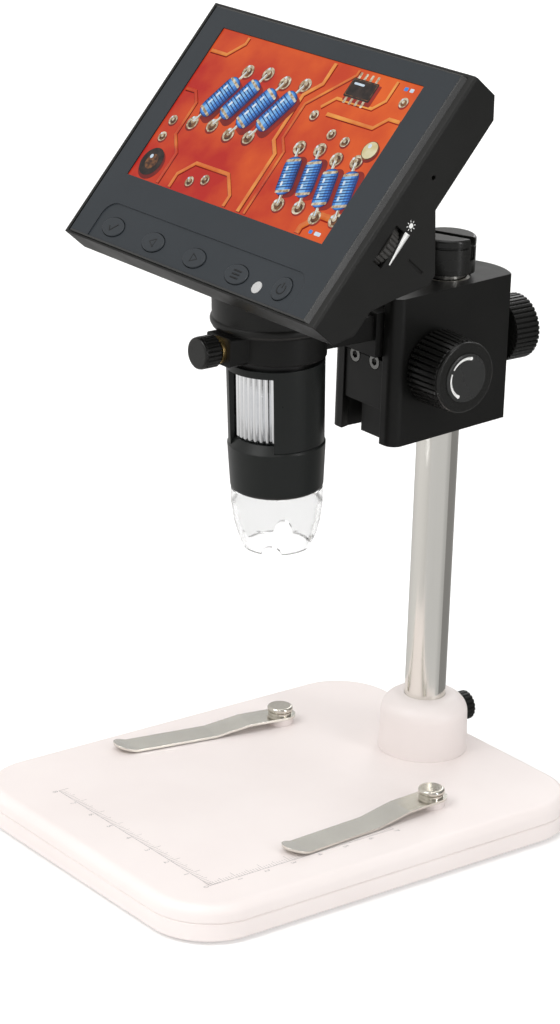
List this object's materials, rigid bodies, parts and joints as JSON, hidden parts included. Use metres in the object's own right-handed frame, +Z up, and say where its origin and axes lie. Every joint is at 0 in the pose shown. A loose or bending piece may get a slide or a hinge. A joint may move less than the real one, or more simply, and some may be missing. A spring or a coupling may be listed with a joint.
{
  "type": "digital microscope",
  "caption": "Bench digital microscope: tilted screen head over a lens barrel, clamped in a rack-and-pinion carriage on a pole, with a flat white base and spring stage clips.",
  "frame": {"origin": "centre of the bounding box at floor level, under the rubber feet", "axes": "+Z up along the pole, +X to the right of a user who faces the screen, +Y away from the user, towards the pole"},
  "size_m": [0.1276, 0.1672, 0.2504],
  "materials": {
    "white_shell": "satin moulded plastic",
    "foot_rubber": "matte",
    "ballast_steel": "bare plate",
    "screw_steel": "zinc plated",
    "pole_chrome": "polished",
    "clip_nickel": "nickel plated",
    "black_anodised": "bead-blasted black anodised",
    "black_plastic": "fine matte",
    "knob_disc": "gloss",
    "sleeve_acetal": "natural acetal",
    "brass": "turned",
    "rack_steel": "milled",
    "head_shell": "fine matte",
    "bezel_black": "polished bevels",
    "face_graphite": "satin film",
    "screen_glass": "anti-glare",
    "lcd_frame": "stamped",
    "board_green": "solder resist",
    "battery_wrap": "foil pouch",
    "button_black": "satin",
    "led_white": "diffuse",
    "socket_metal": "tinned",
    "tube_black": "satin black anodised",
    "wheel_silver": "bright knurled",
    "clear_plastic": "clear",
    "lens_glass": "coated"
  },
  "bodies": {
    "stand": {"base_cover": "white_shell", "base_tray": "white_shell", "base_ballast": "ballast_steel", "base_feet": "foot_rubber", "base_screws": "screw_steel", "pole_collar": "white_shell", "pole": "pole_chrome", "pole_cap": "black_plastic", "clip_studs": "clip_nickel"},
    "left_clip": {"clip_left": "clip_nickel"},
    "right_clip": {"clip_right": "clip_nickel"},
    "collar_screw": {"collar_knob": "black_plastic", "collar_knob_stud": "screw_steel"},
    "slider": {"pole_sleeve": "sleeve_acetal"},
    "bracket": {"bracket_block": "black_anodised", "pinion_bearing": "brass"},
    "lock_screw": {"lock_knob": "black_plastic", "lock_stud": "screw_steel"},
    "carriage": {"carriage_plate": "black_anodised", "rack": "rack_steel", "carriage_screws": "screw_steel", "clamp_ring": "black_anodised", "ring_insert": "brass"},
    "focus_drive": {"pinion": "rack_steel", "focus_knob": "black_plastic", "focus_knob_disc": "knob_disc"},
    "ring_screw": {"ring_knob": "black_plastic", "ring_stud": "screw_steel"},
    "head": {"bezel": "bezel_black", "face_panel": "face_graphite", "lcd_glass": "screen_glass", "lcd_module": "lcd_frame", "rear_housing": "head_shell", "housing_screws": "screw_steel", "neck": "head_shell", "main_board": "board_green", "battery": "battery_wrap", "button_board": "board_green", "switches": "socket_metal", "power_light": "led_white", "usb_socket": "socket_metal", "card_socket": "socket_metal", "dimmer_pot": "socket_metal", "barrel_tube": "tube_black", "barrel_sleeve": "tube_black", "nose_housing": "head_shell", "led_board": "board_green", "leds": "led_white", "clear_tip": "clear_plastic", "camera_board": "board_green"},
    "lens_carrier": {"lens_cell": "tube_black", "lenses": "lens_glass"},
    "focus_ring": {"focus_wheel": "wheel_silver"},
    "dimmer": {"dimmer_wheel": "black_plastic"},
    "key_enter": {"button_enter": "button_black"},
    "key_left": {"button_left": "button_black"},
    "key_up": {"button_up": "button_black"},
    "key_menu": {"button_menu": "button_black"},
    "key_power": {"button_power": "button_black"}
  },
  "joints": [
    {"name": "bracket_lift", "type": "slide", "parent": "stand", "child": "slider", "axis": [0, 0, 1], "range_m": [-0.068, 0.001]},
    {"name": "bracket_swivel", "type": "hinge", "parent": "slider", "child": "bracket", "pos_m": [-0.00077, 0.0523, 0.1503], "axis": [0, 0, 1], "continuous": true},
    {"name": "lock_screw_turn", "type": "hinge", "parent": "bracket", "child": "lock_screw", "pos_m": [-0.00077, 0.0744, 0.1503], "axis": [0, 1, 0], "range_deg": [0, 360]},
    {"name": "carriage_slide", "type": "slide", "parent": "bracket", "child": "carriage", "axis": [0, 0, 1], "range_m": [-0.011, 0.009]},
    {"name": "pinion_spin", "type": "hinge", "parent": "bracket", "child": "focus_drive", "pos_m": [-0.00077, 0.0372, 0.14795], "axis": [1, 0, 0], "range_deg": [-105, 125]},
    {"name": "ring_screw_turn", "type": "hinge", "parent": "carriage", "child": "ring_screw", "pos_m": [-0.00077, -0.0371, 0.1609], "axis": [0, -1, 0], "range_deg": [0, 360]},
    {"name": "head_turn", "type": "hinge", "parent": "carriage", "child": "head", "pos_m": [-0.00077, -0.0137, 0.1609], "axis": [0, -0.0488, 0.9988], "range_deg": [-55, 55]},
    {"name": "focus_turn", "type": "hinge", "parent": "head", "child": "focus_ring", "pos_m": [-0.00077, -0.01279, 0.14222], "axis": [0, -0.0488, 0.9988], "range_deg": [-150, 150]},
    {"name": "lens_slide", "type": "slide", "parent": "head", "child": "lens_carrier", "axis": [0, -0.0488, 0.9988], "range_m": [-0.0026, 0.0026]},
    {"name": "dimmer_turn", "type": "hinge", "parent": "head", "child": "dimmer", "pos_m": [0.05633, -0.02445, 0.20544], "axis": [0, -0.7627, 0.6468], "range_deg": [-135, 135]},
    {"name": "left_clip_turn", "type": "hinge", "parent": "stand", "child": "left_clip", "pos_m": [-0.04147, 0.0248, 0.01465], "axis": [0, 0, 1], "range_deg": [-40, 40]},
    {"name": "right_clip_turn", "type": "hinge", "parent": "stand", "child": "right_clip", "pos_m": [0.03633, 0.0248, 0.01465], "axis": [0, 0, 1], "range_deg": [-40, 40]},
    {"name": "collar_screw_turn", "type": "hinge", "parent": "stand", "child": "collar_screw", "pos_m": [-0.00077, 0.0672, 0.0225], "axis": [0, 1, 0], "range_deg": [0, 360]},
    {"name": "press_enter", "type": "slide", "parent": "head", "child": "key_enter", "axis": [0, 0.7627, -0.6468], "range_m": [0, 0.0006], "stiffness_N_per_m": 800, "springref_m": -0.0005},
    {"name": "press_left", "type": "slide", "parent": "head", "child": "key_left", "axis": [0, 0.7627, -0.6468], "range_m": [0, 0.0006], "stiffness_N_per_m": 800, "springref_m": -0.0005},
    {"name": "press_up", "type": "slide", "parent": "head", "child": "key_up", "axis": [0, 0.7627, -0.6468], "range_m": [0, 0.0006], "stiffness_N_per_m": 800, "springref_m": -0.0005},
    {"name": "press_menu", "type": "slide", "parent": "head", "child": "key_menu", "axis": [0, 0.7627, -0.6468], "range_m": [0, 0.0006], "stiffness_N_per_m": 800, "springref_m": -0.0005},
    {"name": "press_power", "type": "slide", "parent": "head", "child": "key_power", "axis": [0, 0.7627, -0.6468], "range_m": [0, 0.0006], "stiffness_N_per_m": 800, "springref_m": -0.0005}
  ],
  "couplings": [
    {"joint": "pinion_spin", "follows": "carriage_slide", "rad_per_m": -190.48},
    {"joint": "lens_slide", "follows": "focus_turn", "m_per_rad": 0.000955}
  ]
}
